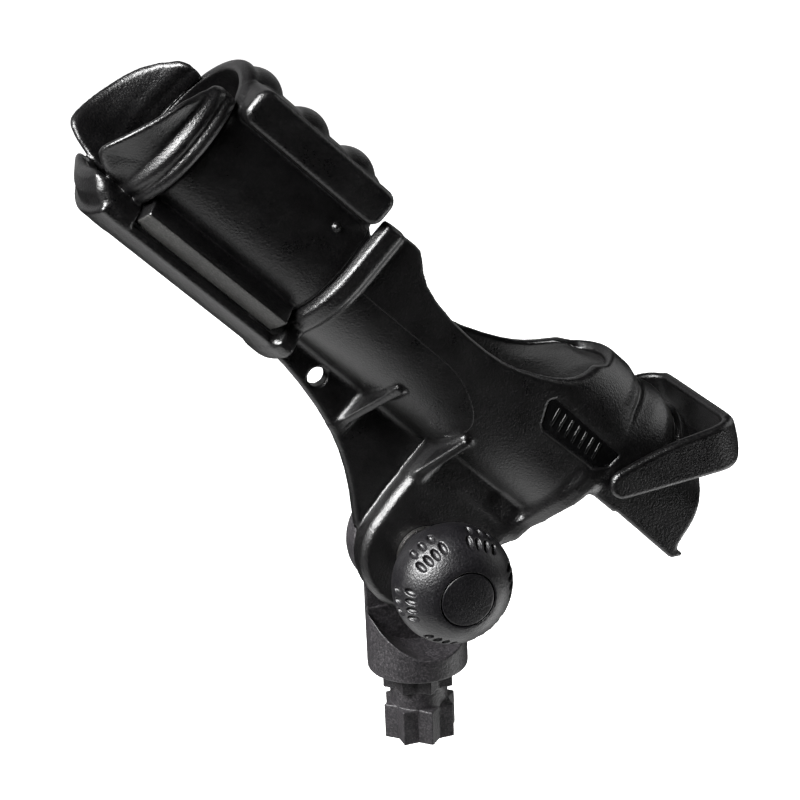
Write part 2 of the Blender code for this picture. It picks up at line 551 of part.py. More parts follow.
def loop_prism(half, end, rad, lo_u=-12.0, v=22.0):
    pts = ([(lo_u, -half)] + [(end - rad + rad * math.cos(t), -half + rad + rad * math.sin(t))
                              for t in [math.radians(270 + 90 * i / 6) for i in range(7)]]
           + [(end - rad + rad * math.cos(t), half - rad + rad * math.sin(t))
              for t in [math.radians(90 * i / 6) for i in range(7)]] + [(lo_u, half)])
    bm2 = bmesh.new()
    vs = [bm2.verts.new((BAIL_S + u * ax - v * -az, y, BAIL_W + u * az - v * ax))
          for u, y in pts]
    f = bm2.faces.new(vs)
    o = bmesh.ops.extrude_face_region(bm2, geom=[f])
    bmesh.ops.translate(bm2, vec=(-2 * v * az, 0, 2 * v * ax),
                        verts=[g for g in o["geom"] if isinstance(g, bmesh.types.BMVert)])
    return bm2


boolean(bail, bail_add("bail_loop_outer", loop_prism(BAIL_OUT + 0.02, 53.6, 12.0), tool=True),
        "INTERSECT")
boolean(bail, bail_add("bail_loop_inner", loop_prism(BAIL_IN, 48.6, 9.0, -20.0, 30.0), tool=True),
        "DIFFERENCE")
for side, sg in (("near", -1), ("far", 1)):
    lo, hi = sorted((sg * (BAIL_IN - 2.0), sg * (BAIL_OUT - 1.2)))
    boolean(bail, bail_add("bail_hole_" + side, cylinder(PIN_R + 0.3, lo, hi, "Y",
                                                         (BAIL_S, BAIL_W), 24), tool=True),
            "DIFFERENCE")

# ---------------------------------------------------------------- hand knob
K = knob_frame
profile = [(-15.2, BORE_R + 2.2), (-15.2, 10.6), (-24.0, 11.4), (-26.4, 14.0), (-27.0, 16.2)]
for i in range(1, 15):
    t = math.radians(43.0 + 91.0 * i / 14)
    profile.append((KNOB_Y + KNOB_R * math.cos(t), KNOB_R * math.sin(t)))
profile = [p for p in profile if p[0] > KNOB_FRONT + 0.2]
profile += [(KNOB_FRONT + 0.5, 14.6), (KNOB_FRONT, 13.6), (KNOB_FRONT, CAP_R + 0.35),
            (KNOB_FRONT + 3.0, CAP_R + 0.35), (KNOB_FRONT + 3.0, 6.4), (-15.2, 6.4)]
profile[0] = (-15.2, 6.4)
knob = add("knob_shell", lathe(profile, 64), K, nylon)

# finger dimples: one shallow cup for each of the six groups round the ball
dimples = []
for g in range(6):
    az_deg = math.radians(4.0 + 60.0 * g)
    el = math.radians(18.0)
    n = Vector((math.cos(el) * math.cos(az_deg), -math.sin(el), math.cos(el) * math.sin(az_deg)))
    bmd = bmesh.new()
    bmesh.ops.create_uvsphere(bmd, u_segments=10, v_segments=6, radius=7.0)
    bmesh.ops.translate(bmd, vec=Vector((0, KNOB_Y, 0)) + n * (KNOB_R + 6.0), verts=bmd.verts)
    dimples.append(bmd)
boolean(knob, add("knob_dimples", merge(*dimples), K, tool=True), "DIFFERENCE")

add("knob_cap", lathe([(KNOB_FRONT + 2.7, 0.0), (KNOB_FRONT + 2.7, CAP_R), (KNOB_FRONT + 0.5, CAP_R),
                       (KNOB_FRONT, CAP_R - 0.5), (KNOB_FRONT, 0.0)], 48), K, nylon)
add("knob_insert", lathe([(-16.0, BORE_R), (-16.0, 6.1), (-52.0, 6.1), (-52.0, BORE_R), (-16.0, BORE_R)],
                         32), K, brass)

place_all()
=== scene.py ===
"""Adjustable rod holder: moulded nylon cradle, lock ring, tail bail, hand knob and star
spigot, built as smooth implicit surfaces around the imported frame, with procedural nylon."""
import json
import math

import bmesh
import bpy
import numpy as np
from mathutils import Matrix, Vector


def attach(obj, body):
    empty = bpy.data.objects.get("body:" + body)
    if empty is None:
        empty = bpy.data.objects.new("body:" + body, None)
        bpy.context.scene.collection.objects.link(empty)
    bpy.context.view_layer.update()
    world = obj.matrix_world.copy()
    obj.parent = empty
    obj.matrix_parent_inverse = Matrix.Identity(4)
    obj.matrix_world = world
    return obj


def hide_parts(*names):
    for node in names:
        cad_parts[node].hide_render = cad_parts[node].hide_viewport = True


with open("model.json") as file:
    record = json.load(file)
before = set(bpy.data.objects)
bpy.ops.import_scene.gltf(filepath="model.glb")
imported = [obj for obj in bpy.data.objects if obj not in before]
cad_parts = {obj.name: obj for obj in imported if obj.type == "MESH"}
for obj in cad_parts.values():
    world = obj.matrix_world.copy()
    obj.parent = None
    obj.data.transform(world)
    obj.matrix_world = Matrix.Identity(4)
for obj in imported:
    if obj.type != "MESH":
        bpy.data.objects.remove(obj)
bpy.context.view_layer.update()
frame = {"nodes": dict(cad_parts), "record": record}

FINE = 1.0
f32 = np.float32

# ------------------------------------------------------------------ frames, from the record
J = {j["name"]: j for j in frame["record"]["behaviour"]["joints"]}
HINGE = np.array(J["tilt"]["pos_m"], float) * 1000.0
T = -np.array(J["ring_turn"]["axis"], float)
T /= np.linalg.norm(T)
YV = np.array([0.0, 1.0, 0.0])
N = np.cross(T, YV)
if N[2] < 0:
    N = -N


def local(p):
    d = np.array(p, float) * 1000.0 - HINGE
    return float(d @ T), float(d @ N)


RING_S, AW = local(J["ring_turn"]["pos_m"])      # cradle axis over the hinge, 65 mm
BAIL_S, BAIL_W = local(J["bail_swing"]["pos_m"])
HZ = float(HINGE[2])


def from_cradle(p):
    """(s, y, w) in mm to world metres."""
    return (HINGE + p[:, 0:1] * T + p[:, 1:2] * YV + p[:, 2:3] * N) / 1000.0


def from_world(p):
    return p / 1000.0


# ------------------------------------------------------------------ implicit surface kit
def rint(a, b, r=0.0):
    """Where both a and b are inside, with a convex edge of radius r."""
    if r <= 0:
        return np.maximum(a, b)
    qa, qb = a + r, b + r
    return (np.minimum(np.maximum(qa, qb), 0)
            + np.sqrt(np.maximum(qa, 0) ** 2 + np.maximum(qb, 0) ** 2) - r)


def runi(a, b, r=0.0):
    """Where either is inside, with a concave fillet of radius r."""
    return -rint(-a, -b, r)


def band(x, lo, hi):
    return np.abs(x - 0.5 * (lo + hi)) - 0.5 * (hi - lo)


def smooth(x, a, b):
    t = np.clip((x - a) / (b - a), 0, 1)
    return t * t * (3 - 2 * t)


def poly(u, v, pts):
    """Signed distance to a closed outline; negative inside."""
    u, v = np.broadcast_arrays(u, v)
    d = np.full(u.shape, 1e9, f32)
    ins = np.zeros(u.shape, bool)
    n = len(pts)
    for i in range(n):
        x0, y0 = pts[i]
        x1, y1 = pts[(i + 1) % n]
        ex, ey = x1 - x0, y1 - y0
        wx, wy = u - x0, v - y0
        t = np.clip((wx * ex + wy * ey) / (ex * ex + ey * ey + 1e-12), 0, 1)
        d = np.minimum(d, (wx - ex * t) ** 2 + (wy - ey * t) ** 2)
        if y0 != y1:
            hit = ((y0 > v) != (y1 > v)) & (u < ex * (v - y0) / ey + x0)
            ins ^= hit
    d = np.sqrt(d)
    return np.where(ins, -d, d).astype(f32)


def chaikin(pts, times=2):
    """Closed outline with its corners softened."""
    p = [tuple(q) for q in pts]
    for _ in range(times):
        out = []
        for i in range(len(p)):
            a, b = p[i], p[(i + 1) % len(p)]
            out.append((a[0] * 0.75 + b[0] * 0.25, a[1] * 0.75 + b[1] * 0.25))
            out.append((a[0] * 0.25 + b[0] * 0.75, a[1] * 0.25 + b[1] * 0.75))
        p = out
    return p


def rounded(pts, r, n=5):
    """Closed outline with each corner turned to an arc of radius r or less."""
    out = []
    m = len(pts)
    for i in range(m):
        p0, p1, p2 = (np.array(pts[(i + k) % m], float) for k in (-1, 0, 1))
        a, b = p0 - p1, p2 - p1
        la, lb = np.linalg.norm(a), np.linalg.norm(b)
        a, b = a / la, b / lb
        cosang = float(np.clip(a @ b, -1, 1))
        half = math.acos(cosang) / 2
        if half > math.radians(84):
            out.append(tuple(p1))
            continue
        t = min(r / math.tan(half), 0.48 * la, 0.48 * lb)
        rr = t * math.tan(half)
        c = p1 + (a + b) / np.linalg.norm(a + b) * (rr / math.sin(half))
        s, e = p1 + a * t, p1 + b * t
        a0 = math.atan2(s[1] - c[1], s[0] - c[0])
        a1 = math.atan2(e[1] - c[1], e[0] - c[0])
        da = (a1 - a0 + math.pi) % (2 * math.pi) - math.pi
        for k in range(n + 1):
            q = a0 + da * k / n
            out.append((c[0] + rr * math.cos(q), c[1] + rr * math.sin(q)))
    return out


def box2(u, v, cu, cv, hu, hv, r):
    qu, qv = np.abs(u - cu) - hu + r, np.abs(v - cv) - hv + r
    return (np.minimum(np.maximum(qu, qv), 0)
            + np.sqrt(np.maximum(qu, 0) ** 2 + np.maximum(qv, 0) ** 2) - r)


CORNERS = [(0, 0, 0), (1, 0, 0), (0, 1, 0), (1, 1, 0), (0, 0, 1), (1, 0, 1), (0, 1, 1), (1, 1, 1)]
EDGES = [(0, 1), (2, 3), (4, 5), (6, 7), (0, 2), (1, 3), (4, 6), (5, 7), (0, 4), (1, 5), (2, 6), (3, 7)]


class Field:
    def __init__(self, lo, hi, h):
        self.h = h
        self.lo = np.array(lo, float)
        n = np.ceil((np.array(hi, float) - self.lo) / h).astype(int) + 1
        self.ax = [(self.lo[i] + h * np.arange(n[i])).astype(f32) for i in range(3)]
        self.F = np.full(n, 60.0, f32)

    def block(self, lo, hi):
        sl = tuple(slice(int(np.searchsorted(self.ax[i], lo[i])),
                         int(np.searchsorted(self.ax[i], hi[i], "right"))) for i in range(3))
        a = self.ax
        return (sl, a[0][sl[0]][:, None, None], a[1][sl[1]][None, :, None],
                a[2][sl[2]][None, None, :])

    def everywhere(self):
        return tuple(float(a[0]) for a in self.ax), tuple(float(a[-1]) for a in self.ax)

    def add(self, fn, r=0.0, lo=None, hi=None):
        if lo is None:
            lo, hi = self.everywhere()
        sl, x, y, z = self.block(lo, hi)
        self.F[sl] = runi(self.F[sl], fn(x, y, z), r)

    def cut(self, fn, r=0.0, lo=None, hi=None):
        if lo is None:
            lo, hi = self.everywhere()
        sl, x, y, z = self.block(lo, hi)
        self.F[sl] = rint(self.F[sl], -fn(x, y, z), r)

    def sample(self, P):
        F = self.F
        top = np.array(F.shape) - 1.001
        P = np.clip(P, 0, top)
        i = P.astype(np.int32)
        f = (P - i).astype(f32)
        fx, fy, fz = f[:, 0], f[:, 1], f[:, 2]
        a, b, c = i[:, 0], i[:, 1], i[:, 2]
        c00 = F[a, b, c] * (1 - fx) + F[a + 1, b, c] * fx
        c10 = F[a, b + 1, c] * (1 - fx) + F[a + 1, b + 1, c] * fx
        c01 = F[a, b, c + 1] * (1 - fx) + F[a + 1, b, c + 1] * fx
        c11 = F[a, b + 1, c + 1] * (1 - fx) + F[a + 1, b + 1, c + 1] * fx
        return (c00 * (1 - fy) + c10 * fy) * (1 - fz) + (c01 * (1 - fy) + c11 * fy) * fz

    def gradient(self, P, e=0.6):
        g = np.empty(P.shape, f32)
        for k in range(3):
            d = np.zeros(3)
            d[k] = e
            g[:, k] = (self.sample(P + d) - self.sample(P - d)) / (2 * e * self.h)
        return g

    def surface(self):
        """Vertices (mm), quads and normals of the zero surface."""
        F = self.F
        S = F < 0
        nx, ny, nz = F.shape
        cnt = np.zeros((nx - 1, ny - 1, nz - 1), np.uint8)
        for dx, dy, dz in CORNERS:
            cnt += S[dx:nx - 1 + dx, dy:ny - 1 + dy, dz:nz - 1 + dz]
        act = (cnt > 0) & (cnt < 8)
        I, Jx, K = np.nonzero(act)
        idx = np.full(act.shape, -1, np.int32)
        idx[I, Jx, K] = np.arange(len(I))
        v = [F[I + c[0], Jx + c[1], K + c[2]] for c in CORNERS]
        pos = np.zeros((len(I), 3))
        num = np.zeros(len(I))
        C = np.array(CORNERS, float)
        for a, b in EDGES:
            fa, fb = v[a], v[b]
            m = (fa < 0) != (fb < 0)
            t = (fa[m] / (fa[m] - fb[m]))[:, None]
            pos[m] += C[a] + t * (C[b] - C[a])
            num[m] += 1
        pos = pos / num[:, None] + np.stack([I, Jx, K], 1)
        quads = []
        for ax in range(3):
            A = np.moveaxis(S, ax, 0)
            m = A[:-1] != A[1:]
            m[:, 0, :] = m[:, -1, :] = False
            m[:, :, 0] = m[:, :, -1] = False
            i, p, q = np.nonzero(m)
            ins = A[:-1][i, p, q]
            M = np.moveaxis(idx, ax, 0)
            c = np.stack([M[i, p - 1, q - 1], M[i, p, q - 1], M[i, p, q], M[i, p - 1, q]], 1)
            flip = ~ins if ax != 1 else ins
            c[flip] = c[flip][:, ::-1]
            quads.append(c)
        quads = np.concatenate(quads)
        for _ in range(2):
            g = self.gradient(pos)
            d = self.sample(pos)
            step = (d / np.maximum((g ** 2).sum(1), 0.2))[:, None] * g / self.h
            pos = pos - np.clip(step, -0.45, 0.45)
        g = self.gradient(pos)
        g /= np.maximum(np.linalg.norm(g, axis=1), 1e-6)[:, None]
        return pos * self.h + self.lo, quads, g


def mesh_object(name, pts, quads, normals=None):
    me = bpy.data.meshes.new(name)
    me.vertices.add(len(pts))
    me.vertices.foreach_set("co", np.ascontiguousarray(pts, f32).ravel())
    me.loops.add(len(quads) * 4)
    me.loops.foreach_set("vertex_index", np.ascontiguousarray(quads, np.int32).ravel())
    me.polygons.add(len(quads))
    me.polygons.foreach_set("loop_start", np.arange(0, len(quads) * 4, 4, dtype=np.int32))
    me.polygons.foreach_set("loop_total", np.full(len(quads), 4, np.int32))
    me.update(calc_edges=True)
    me.validate()
    me.shade_smooth()
    if normals is not None:
        me.normals_split_custom_set_from_vertices(normals.astype(float).tolist())
    ob = bpy.data.objects.new(name, me)
    bpy.context.scene.collection.objects.link(ob)
    return ob


def piece(name, field, place, mat, body, stands_for):
    pts, quads, nor = field.surface()
    if place is from_cradle:
        nor = nor[:, 0:1] * T + nor[:, 1:2] * YV + nor[:, 2:3] * N
    ob = mesh_object(name, place(pts), quads, nor)
    ob.data.materials.append(mat)
    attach(ob, body)
    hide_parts(*stands_for)
    print(name, len(quads), "quads")
    return ob


# ------------------------------------------------------------------ materials
def nodes_of(name):
    m = bpy.data.materials.new(name)
    m.use_nodes = True
    nt = m.node_tree
    return m, nt, nt.nodes["Principled BSDF"]


def nylon(name, dark, light, rough_lo, rough_hi, grain=2300.0, bump=0.35, depth=0.00006, spec=0.5,
          mottle=95.0):
    """Glass-filled nylon from an etched mould: fine grain in colour, gloss and relief."""
    m, nt, b = nodes_of(name)
    L = nt.links.new
    tc = nt.nodes.new("ShaderNodeTexCoord")
    fine = nt.nodes.new("ShaderNodeTexNoise")
    fine.inputs["Scale"].default_value = grain
    fine.inputs["Detail"].default_value = 3.0
    fine.inputs["Roughness"].default_value = 0.65
    L(tc.outputs["Object"], fine.inputs["Vector"])
    wide = nt.nodes.new("ShaderNodeTexNoise")
    wide.inputs["Scale"].default_value = mottle
    wide.inputs["Detail"].default_value = 4.0
    L(tc.outputs["Object"], wide.inputs["Vector"])
    specks = nt.nodes.new("ShaderNodeTexVoronoi")
    specks.inputs["Scale"].default_value = grain * 0.62
    L(tc.outputs["Object"], specks.inputs["Vector"])
    ramp = nt.nodes.new("ShaderNodeValToRGB")
    ramp.color_ramp.elements[0].position = 0.38
    ramp.color_ramp.elements[0].color = (*dark, 1)
    ramp.color_ramp.elements[1].position = 0.74
    ramp.color_ramp.elements[1].color = (*light, 1)
    mid = ramp.color_ramp.elements.new(0.54)
    mid.color = (*[0.72 * d + 0.28 * e for d, e in zip(dark, light)], 1)
    L(fine.outputs["Fac"], ramp.inputs["Fac"])
    tint = nt.nodes.new("ShaderNodeMix")
    tint.data_type = "RGBA"
    tint.blend_type = "MULTIPLY"
    tint.inputs["Factor"].default_value = 1.0
    shade = nt.nodes.new("ShaderNodeMapRange")
    shade.inputs["From Min"].default_value = 0.3
    shade.inputs["From Max"].default_value = 0.7
    shade.inputs["To Min"].default_value = 0.75
    shade.inputs["To Max"].default_value = 1.15
    L(wide.outputs["Fac"], shade.inputs["Value"])
    L(ramp.outputs["Color"], tint.inputs["A"])
    L(shade.outputs["Result"], tint.inputs["B"])
    L(tint.outputs["Result"], b.inputs["Base Color"])
    rough = nt.nodes.new("ShaderNodeMapRange")
    rough.inputs["From Min"].default_value = 0.3
    rough.inputs["From Max"].default_value = 0.7
    rough.inputs["To Min"].default_value = rough_lo
    rough.inputs["To Max"].default_value = rough_hi
    mixr = nt.nodes.new("ShaderNodeMath")
    mixr.operation = "ADD"
    half = nt.nodes.new("ShaderNodeMath")
    half.operation = "MULTIPLY"
    half.inputs[1].default_value = 0.45
    L(fine.outputs["Fac"], half.inputs[0])
    half2 = nt.nodes.new("ShaderNodeMath")
    half2.operation = "MULTIPLY"
    half2.inputs[1].default_value = 0.55
    L(wide.outputs["Fac"], half2.inputs[0])
    L(half.outputs[0], mixr.inputs[0])
    L(half2.outputs[0], mixr.inputs[1])
    L(mixr.outputs[0], rough.inputs["Value"])
    L(rough.outputs["Result"], b.inputs["Roughness"])
    relief = nt.nodes.new("ShaderNodeMath")
    relief.operation = "ADD"
    sp = nt.nodes.new("ShaderNodeMath")
    sp.operation = "MULTIPLY"
    sp.inputs[1].default_value = 0.6
    L(specks.outputs["Distance"], sp.inputs[0])
    L(fine.outputs["Fac"], relief.inputs[0])
    L(sp.outputs[0], relief.inputs[1])
    bp = nt.nodes.new("ShaderNodeBump")
    bp.inputs["Strength"].default_value = bump
    bp.inputs["Distance"].default_value = depth
    L(relief.outputs[0], bp.inputs["Height"])
    L(bp.outputs["Normal"], b.inputs["Normal"])
    b.inputs["Specular IOR Level"].default_value = spec
    b.inputs["IOR"].default_value = 1.5
    return m


def metal(name, colour, rough_lo, rough_hi):
    """Turned metal: fine lathe marks and a slight stain."""
    m, nt, b = nodes_of(name)
    L = nt.links.new
    tc = nt.nodes.new("ShaderNodeTexCoord")
    n = nt.nodes.new("ShaderNodeTexNoise")
    n.inputs["Scale"].default_value = 700.0
    n.inputs["Detail"].default_value = 5.0
    L(tc.outputs["Object"], n.inputs["Vector"])
    wv = nt.nodes.new("ShaderNodeTexWave")
    wv.wave_type = "RINGS"
    wv.rings_direction = "Y"
    wv.inputs["Scale"].default_value = 900.0
    wv.inputs["Distortion"].default_value = 0.6
    L(tc.outputs["Object"], wv.inputs["Vector"])
    ramp = nt.nodes.new("ShaderNodeValToRGB")
    ramp.color_ramp.elements[0].color = (*[c * 0.78 for c in colour], 1)
    ramp.color_ramp.elements[1].color = (*colour, 1)
    L(n.outputs["Fac"], ramp.inputs["Fac"])
    L(ramp.outputs["Color"], b.inputs["Base Color"])
    r = nt.nodes.new("ShaderNodeMapRange")
    r.inputs["To Min"].default_value = rough_lo
    r.inputs["To Max"].default_value = rough_hi
    L(n.outputs["Fac"], r.inputs["Value"])
    L(r.outputs["Result"], b.inputs["Roughness"])
    bp = nt.nodes.new("ShaderNodeBump")
    bp.inputs["Strength"].default_value = 0.2
    bp.inputs["Distance"].default_value = 0.00003
    L(wv.outputs["Fac"], bp.inputs["Height"])
    L(bp.outputs["Normal"], b.inputs["Normal"])
    b.inputs["Metallic"].default_value = 1.0
    return m


M_BLACK = nylon("nylon_black", (0.0004, 0.0004, 0.0007), (0.0082, 0.0076, 0.0074), 0.25, 0.41,
                grain=1700.0, bump=0.9, depth=0.00014, spec=0.62)
# Matt nylon with a lighter base colour. The higher roughness is a real finish; the lighter colour is painted
# sheen that stands in for the white floor's reflection on the ring's flange undersides.
M_MATT_PAINTED_SHEEN = nylon("nylon_matt_painted_sheen", (0.022, 0.022, 0.021), (0.080, 0.078, 0.075), 0.46, 0.62,
               grain=1400.0, bump=0.7, depth=0.00018, spec=0.5)
M_GREY = nylon("nylon_dark_grey", (0.005, 0.0046, 0.0056), (0.056, 0.051, 0.055), 0.40, 0.56,
               grain=1300.0, bump=0.8, depth=0.00020)
M_KNOB = nylon("nylon_knob", (0.0014, 0.0013, 0.0020), (0.0150, 0.0138, 0.0158), 0.31, 0.44,
               grain=1600.0, bump=0.8, depth=0.00014, spec=0.6)
M_GLOSS = nylon("badge_gloss", (0.0025, 0.0025, 0.0027), (0.0060, 0.0060, 0.0062), 0.10, 0.20,
                grain=900.0, bump=0.08)
M_ACETAL = nylon("acetal", (0.010, 0.010, 0.010), (0.020, 0.020, 0.021), 0.32, 0.44)
M_STEEL = metal("stainless", (0.58, 0.57, 0.55), 0.22, 0.36)
M_BRASS = metal("brass", (0.70, 0.50, 0.22), 0.22, 0.34)

for node, mat in (("pivot_bolt", M_STEEL), ("bolt_washer", M_STEEL), ("release_spring", M_STEEL),
                  ("thrust_washer", M_STEEL), ("bail_pin_near", M_STEEL),
                  ("bail_pin_far", M_STEEL), ("knob_insert", M_BRASS),
                  ("ratchet_ring_fixed", M_ACETAL), ("ratchet_ring_moving", M_ACETAL)):
    ob = frame["nodes"][node]
    if len(ob.material_slots) == 0:
        ob.data.materials.append(mat)
    for sl in ob.material_slots:
        sl.material = mat

# ------------------------------------------------------------------ cradle body
OUT_R, IN_R = 31.2, 28.2
ROOF, ROOF_R, ARCH_W = 107.0, 20.0, 72.0

SIDE = ([(-106.0, 10.0), (27.4, 10.0), (27.4, 58.4), (43.0, 58.4), (44.2, 59.3), (76.6, 58.7),
         (77.8, 59.2), (80.7, 62.4), (80.2, 63.4), (76.9, 63.4), (75.9, 65.0), (75.2, 69.0),
         (74.5, 74.0), (73.6, 78.2), (71.9, 83.0), (69.7, 87.0), (67.0, 90.6), (62.0, 96.6),
         (57.6, 101.6), (54.0, 106.5), (52.5, 112.0), (50.0, 122.0), (8.0, 122.0),
         (8.0, 110.0), (5.6, 105.0), (3.4, 100.5), (1.2, 96.3), (-1.6, 92.3), (-4.9, 88.8),
         (-8.6, 86.0), (-13.2, 83.4), (-20.0, 80.4), (-28.5, 77.4), (-36.0, 75.6), (-44.0, 74.8), (-54.0, 74.7),
         (-64.0, 75.3), (-73.0, 76.8), (-80.0, 79.0), (-84.6, 81.8), (-88.2, 85.0),
         (-91.0, 87.0), (-94.0, 87.4), (-109.4, 86.6), (-109.4, 10.0)])


def section(Y, W, S=None):
    """Outer outline of the cradle: half round below its axis; upright walls at the trough,
    and an egg-shaped arch over the tail."""
    circ = np.sqrt(Y * Y + (W - AW) ** 2) - OUT_R
    qu = np.abs(Y) - OUT_R + ROOF_R
    qv = W - ROOF + ROOF_R
    roof = (np.minimum(np.maximum(qu, qv), 0)
            + np.sqrt(np.maximum(qu, 0) ** 2 + np.maximum(qv, 0) ** 2) - ROOF_R)
    if S is not None:
        v = np.maximum(W - ARCH_W, 0.0)
        b = ROOF - ARCH_W
        q = np.sqrt((Y / OUT_R) ** 2 + (v / b) ** 2)
        arch = (q - 1.0) * q / np.maximum(np.sqrt((Y / OUT_R ** 2) ** 2 + (v / b ** 2) ** 2), 2e-3)
        arch = np.maximum(arch, -12.0)
        t = smooth(S, -62.0, -22.0)
        roof = roof * (1 - t) + arch * t
    return np.where(W > AW, roof, circ)


def cradle_field():
    g = Field((-208.5, -41.0, -28.0), (84.0, 41.0, 111.5), 0.85 * FINE)
    sl, S, Y, W = g.block(*g.everywhere())
    D2 = section(Y, W, S)
    P = poly(S, W, SIDE)
    mouth = np.sqrt((S + 25.0) ** 2 + Y * Y) - 35.6          # > 0 in the roof
    edge = -rint(P, -mouth - 30.0 * (1.0 - smooth(W, 87.0, 101.0)), 4.0)
    lip = 2.0 * np.exp(-(np.maximum(edge, 0.0) / 5.5) ** 2) * smooth(W, 72.0, 88.0) \
        * smooth(S, -40.0, -20.0) * (1.0 - smooth(S, 24.0, 34.0))
    drop = np.clip((ROOF - W) / 10.0, 0.0, 1.4)
    s1 = 29.5 - 2.6 * drop                                  # two overlapping bands
    s2 = 48.0 + 2.0 * drop
    step = (-1.5 * smooth(S, s1 - 9.0, s1 - 1.2) + 1.5 * smooth(S, s1 + 0.4, s1 + 9.0)
            - 1.0 * np.exp(-((S - s1) / 1.0) ** 2)
            - 1.9 * smooth(S, s2 - 9.0, s2 - 1.2) + 1.1 * smooth(S, s2 + 0.2, s2 + 1.6)
            - 1.0 * np.exp(-((S - s2) / 1.0) ** 2)) * smooth(W, 80.0, 97.0)
    outer = D2 - step
    inner = D2 + 3.0 + lip + 0.8 * np.maximum(-step, 0.0)
    shell = rint(outer, -inner, 0.0)
    g.F[:] = rint(shell, -edge, 1.7)
    del shell, outer, inner, lip, step, mouth, edge

    # rolled rear rim of the trough
    def rim(S, Y, W):
        D = section(Y, W)
        b = box2(S, D, -104.9, 0.3, 4.4, 2.9, 2.7)
        return rint(b, poly(S, W, SIDE), 1.6)
    g.add(rim, 2.0, (-120, -41, 15), (-92, 41, 98))

    R2 = lambda Y, W: np.sqrt(Y * Y + (W - AW) ** 2)
    low = lambda Y, W: np.arctan2(np.abs(Y), AW - W)

    # keel channel under the lock ring
    def keel(S, Y, W):
        R = R2(Y, W)
        lat = (low(Y, W) - math.radians(30.5)) * 42.0
        return rint(rint(np.abs(R - 42.0) - 2.0, lat, 1.9), band(S, -190.0, -101.2), 1.2)
    g.add(keel, 1.5, (-200, -36, 8), (-90, 36, 50))

    def keel_wall(S, Y, W):
        R = R2(Y, W)
        lat = (low(Y, W) - math.radians(35.0)) * 36.0
        return rint(rint(band(R, 24.0, 44.0), lat, 2.0), band(S, -108.2, -101.2), 1.6)
    g.add(keel_wall, 2.5, (-118, -40, 8), (-90, 40, 62))

    def bulb(S, Y, W):
        R = R2(Y, W)
        d = poly(S, R, rounded([(-165.0, 29.3), (-165.0, 44.0), (-183.0, 43.7), (-188.8, 42.0),
                                (-194.4, 38.6), (-197.6, 34.5), (-198.6, 31.8), (-197.6, 29.3)],
                               2.0))
        lat = (low(Y, W) - math.radians(33.0)) * 38.0
        d = rint(rint(d, lat, 4.0), W - 36.6, 2.0)
        return rint(d, S + 177.9, 0.6)
    g.add(bulb, 1.0, (-205, -36, 10), (-171, 36, 52))

    # horns at the front: flared lips, and a double rolled rim against the lock ring
    front = [(-150.0, 0.0), (-150.0, 85.0), (-179.0, 85.0), (-184.0, 85.3), (-187.6, 83.8),
             (-191.4, 79.6), (-195.0, 73.4), (-197.3, 68.0), (-199.4, 62.0), (-201.5, 56.2),
             (-203.5, 50.2), (-204.7, 46.0), (-205.0, 43.6), (-203.8, 41.4), (-200.4, 39.4),
             (-195.4, 37.6), (-189.5, 36.0), (-184.0, 34.4), (-180.0, 32.0), (-178.0, 20.0)]

    def horns(S, Y, W):
        R = R2(Y, W)
        d = poly(S, W, front)
        t = np.clip(1.0 + d / 15.0, 0.0, 1.0) * smooth(-S, 176.0, 197.0)
        mid = 29.7 + 3.2 * t * t
        half = 1.5 + 0.55 * t ** 3
        sh = rint(np.abs(R - mid) - half, d, 1.9)
        b1 = np.sqrt((S + 180.9) ** 2 + (R - 31.6) ** 2) - 2.75
        b2 = np.sqrt((S + 185.6) ** 2 + (R - 31.2) ** 2) - 2.75
        beads = runi(rint(b1, d, 1.8), rint(b2, d, 1.8), 0.7)
        sh = runi(sh, beads, 2.2)
        side = (math.radians(22.0) - low(Y, W)) * 31.0       # slot over the keel
        sh = rint(sh, side, 1.4)
        return rint(sh, S + 178.1, 0.8)
    g.add(horns, 0.9, (-208.5, -41, 20), (-170, 41, 98))

    # web down to the hinge lug
    web = [(-101.9, 40.0), (-101.9, 24.2), (-90.0, 22.6), (-80.0, 20.7), (-69.0, 17.9),
           (-58.5, 14.3), (-50.0, 10.2), (-42.8, 5.8), (-36.0, 0.8), (-29.5, -4.7),
           (-23.0, -10.2), (-17.0, -15.0), (0.0, -18.0), (18.0, -8.0), (25.6, 3.0), (26.6, 40.0)]
    g.add(lambda S, Y, W: rint(poly(S, W, web), np.abs(Y) - 3.2, 2.3), 3.2,
          (-118, -22, -28), (40, 22, 52))
    a = [math.radians(180 + 180 * i / 24) for i in range(25)]
    lug = ([(25.1 * math.cos(t), 25.1 * math.sin(t)) for t in a]
           + [(25.5, 20.0), (26.5, 42.0), (-25.8, 42.0), (-25.8, 10.0)])
    def lug_block(S, Y, W):
        d = poly(S, W, lug)
        e = -13.0 - Y
        b = rint(d, band(Y, -13.0, -1.4), 0.9)
        return rint(b, 0.8 * d + 0.6 * e + 1.75, 0.7)
    g.add(lug_block, 1.0, (-42, -30, -28), (42, 16, 56))
    g.add(lambda S, Y, W: rint(poly(S, W, [(-22.8, 27.5), (26.3, 27.5), (26.3, 43.0),
                                           (-22.8, 43.0)]), np.abs(Y) - 12.7, 1.3), 3.0,
          (-42, -30, 14), (42, 30, 56))
    for sg in (-1, 1):
        lo, hi = (-41, 4) if sg < 0 else (-4, 41)
        tri = [(1.5, 16.0), (24.5, 43.2), (1.5, 48.0)]
        g.add(lambda S, Y, W: rint(poly(Y * sg, W, tri), band(S, -59.9, -56.5), 0.7), 2.6,
              (-74, lo, 6), (-42, hi, 58))
        tri2 = [(5.0, 20.0 if sg < 0 else 30.5), (12.9, 22.0 if sg < 0 else 30.5), (27.5, 44.0),
                (5.0, 49.0)]
        g.add(lambda S, Y, W: rint(poly(Y * sg, W, tri2), band(S, -25.7, -22.0), 1.0), 3.0,
              (-40, lo, 8), (-8, hi, 58))
